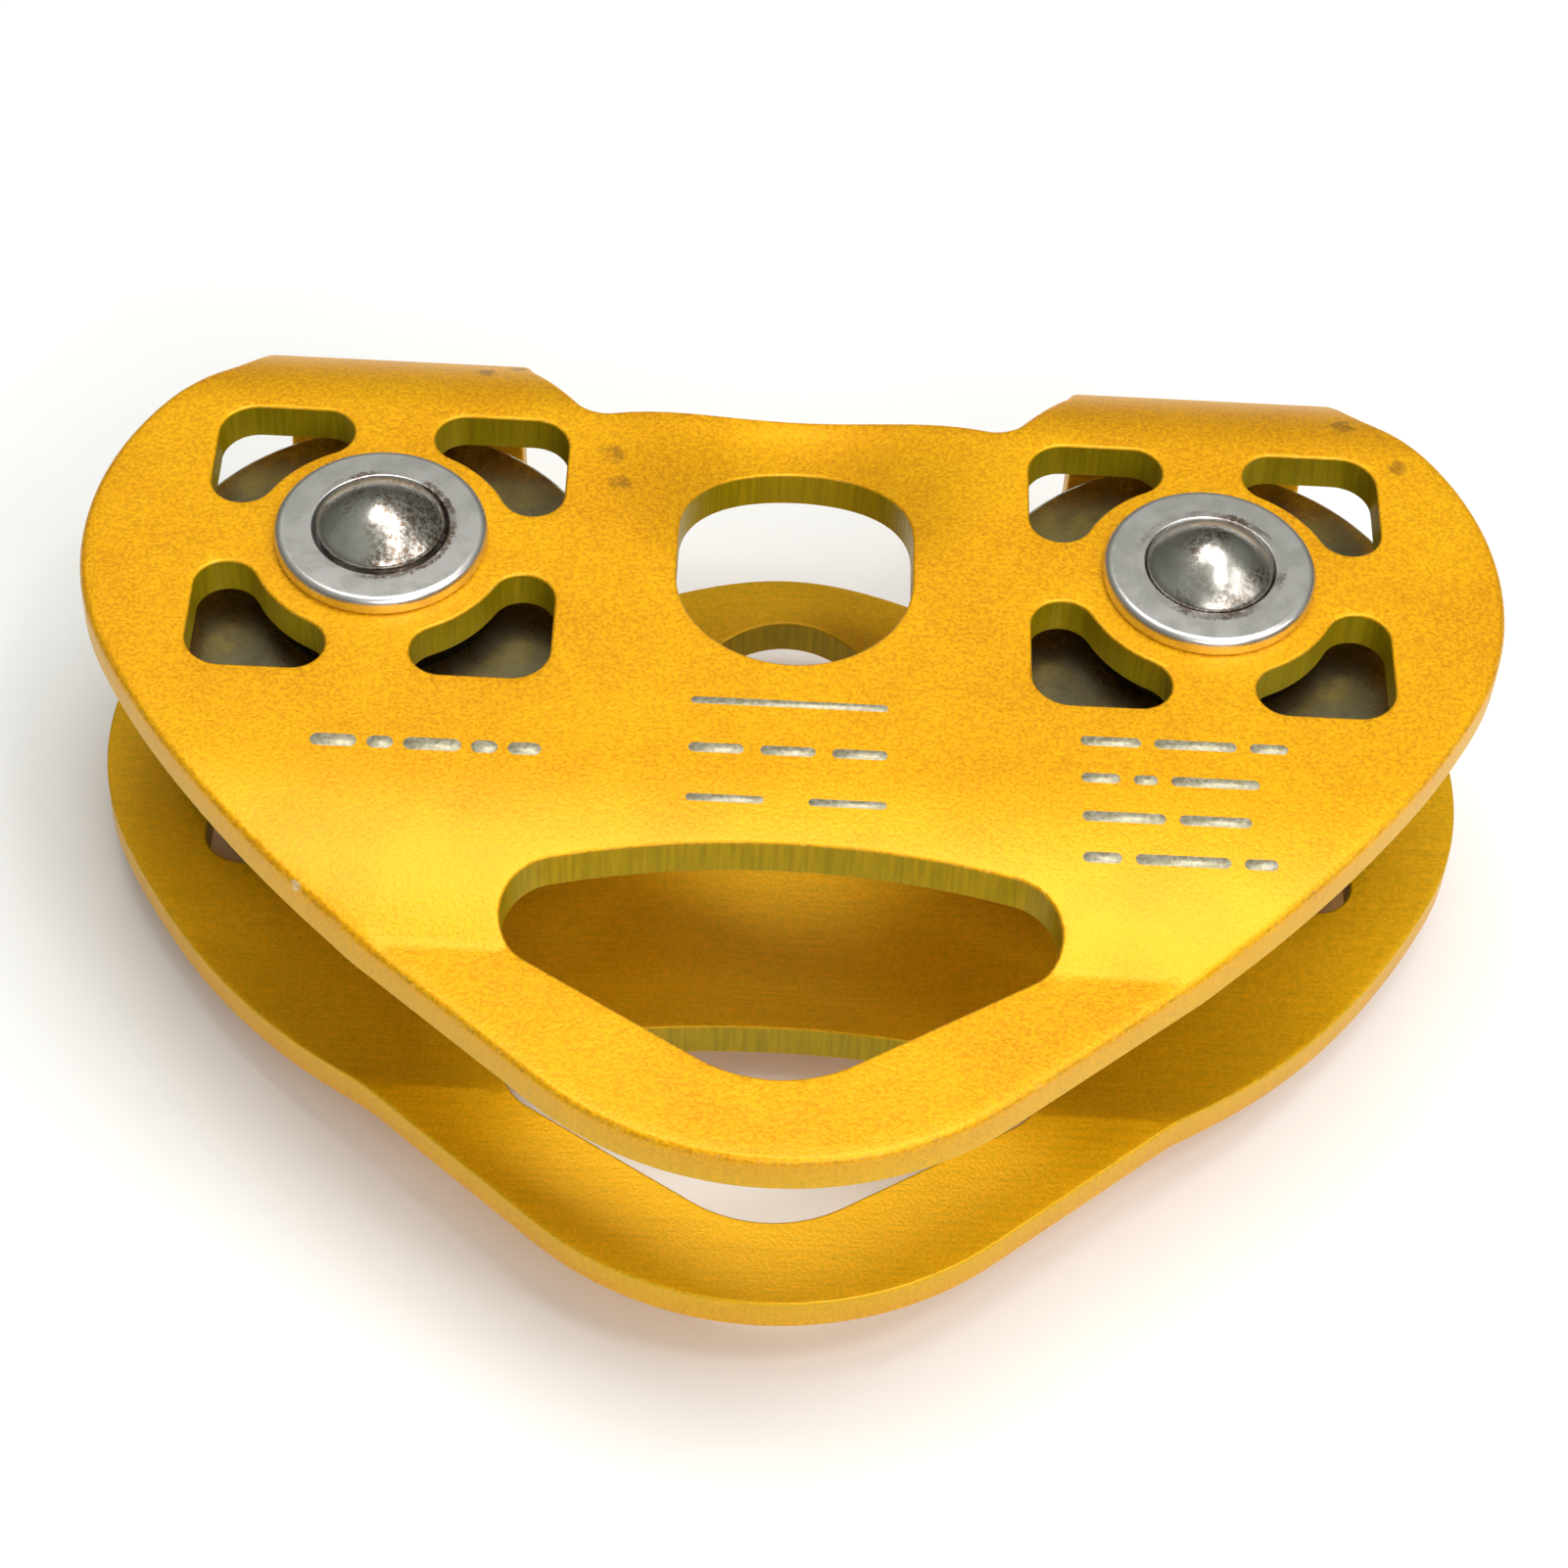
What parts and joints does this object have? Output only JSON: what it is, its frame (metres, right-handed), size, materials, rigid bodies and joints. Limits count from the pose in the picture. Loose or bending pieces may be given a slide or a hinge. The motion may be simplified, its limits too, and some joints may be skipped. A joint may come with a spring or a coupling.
{
  "type": "tandem rope pulley",
  "caption": "Tandem rope pulley: grooved steel sheaves on ball bearings, riveted in line into a gold anodised aluminium frame folded over the top, with a triangular carabiner eye.",
  "frame": {"origin": "on the surface that the part lies on, under the middle of its box; the rear rivet heads rest on that surface", "axes": "+X runs from the left axle to the right axle, +Y from the carabiner eye towards the fold, +Z out of the front cheek along the axles"},
  "size_m": [0.134, 0.1008, 0.0427],
  "materials": {
    "gold_anodised": "gold anodised over a fine bead-blasted surface, satin, worn to brighter metal along the edges",
    "sheave_steel": "turned steel with fine concentric tool marks",
    "rivet_steel": "peened rivet steel with small rust specks",
    "washer_steel": "tumbled plated steel with rounded edges",
    "bright_steel": "turned bright steel",
    "spring_steel": "oiled dark spring steel",
    "bearing_steel": "ground and polished bearing steel",
    "cage_brass": "pressed brass",
    "shield_steel": "pressed sheet steel"
  },
  "bodies": {
    "frame": {"frame": "gold_anodised", "left_axle": "rivet_steel", "left_distance_sleeve": "bright_steel", "right_axle": "rivet_steel", "right_distance_sleeve": "bright_steel", "left_front_outer_washer": "washer_steel", "left_front_side_spacer": "bright_steel", "left_front_bearing_inner_ring": "bearing_steel", "left_rear_outer_washer": "washer_steel", "left_rear_side_spacer": "bright_steel", "left_rear_bearing_inner_ring": "bearing_steel", "right_front_outer_washer": "washer_steel", "right_front_side_spacer": "bright_steel", "right_front_bearing_inner_ring": "bearing_steel", "right_rear_outer_washer": "washer_steel", "right_rear_side_spacer": "bright_steel", "right_rear_bearing_inner_ring": "bearing_steel"},
    "left_wheel": {"left_sheave": "sheave_steel", "left_front_retaining_ring": "spring_steel", "left_front_bearing_outer_ring": "bearing_steel", "left_front_bearing_shields": "shield_steel", "left_rear_retaining_ring": "spring_steel", "left_rear_bearing_outer_ring": "bearing_steel", "left_rear_bearing_shields": "shield_steel"},
    "right_wheel": {"right_sheave": "sheave_steel", "right_front_retaining_ring": "spring_steel", "right_front_bearing_outer_ring": "bearing_steel", "right_front_bearing_shields": "shield_steel", "right_rear_retaining_ring": "spring_steel", "right_rear_bearing_outer_ring": "bearing_steel", "right_rear_bearing_shields": "shield_steel"},
    "left_front_ball_set": {"left_front_bearing_balls": "bearing_steel", "left_front_bearing_cage": "cage_brass"},
    "left_rear_ball_set": {"left_rear_bearing_balls": "bearing_steel", "left_rear_bearing_cage": "cage_brass"},
    "right_front_ball_set": {"right_front_bearing_balls": "bearing_steel", "right_front_bearing_cage": "cage_brass"},
    "right_rear_ball_set": {"right_rear_bearing_balls": "bearing_steel", "right_rear_bearing_cage": "cage_brass"}
  },
  "joints": [
    {"name": "left_sheave_spin", "type": "hinge", "parent": "frame", "child": "left_wheel", "pos_m": [-0.039, 0.01653, 0.02135], "axis": [0, 0, 1], "continuous": true},
    {"name": "right_sheave_spin", "type": "hinge", "parent": "frame", "child": "right_wheel", "pos_m": [0.039, 0.01653, 0.02135], "axis": [0, 0, 1], "continuous": true},
    {"name": "left_front_ball_set_spin", "type": "hinge", "parent": "frame", "child": "left_front_ball_set", "pos_m": [-0.039, 0.01653, 0.02135], "axis": [0, 0, 1], "continuous": true},
    {"name": "left_rear_ball_set_spin", "type": "hinge", "parent": "frame", "child": "left_rear_ball_set", "pos_m": [-0.039, 0.01653, 0.02135], "axis": [0, 0, 1], "continuous": true},
    {"name": "right_front_ball_set_spin", "type": "hinge", "parent": "frame", "child": "right_front_ball_set", "pos_m": [0.039, 0.01653, 0.02135], "axis": [0, 0, 1], "continuous": true},
    {"name": "right_rear_ball_set_spin", "type": "hinge", "parent": "frame", "child": "right_rear_ball_set", "pos_m": [0.039, 0.01653, 0.02135], "axis": [0, 0, 1], "continuous": true}
  ],
  "couplings": [
    {"joint": "left_front_ball_set_spin", "follows": "left_sheave_spin", "ratio": 0.5992},
    {"joint": "left_rear_ball_set_spin", "follows": "left_sheave_spin", "ratio": 0.5992},
    {"joint": "right_front_ball_set_spin", "follows": "right_sheave_spin", "ratio": 0.5992},
    {"joint": "right_rear_ball_set_spin", "follows": "right_sheave_spin", "ratio": 0.5992}
  ]
}
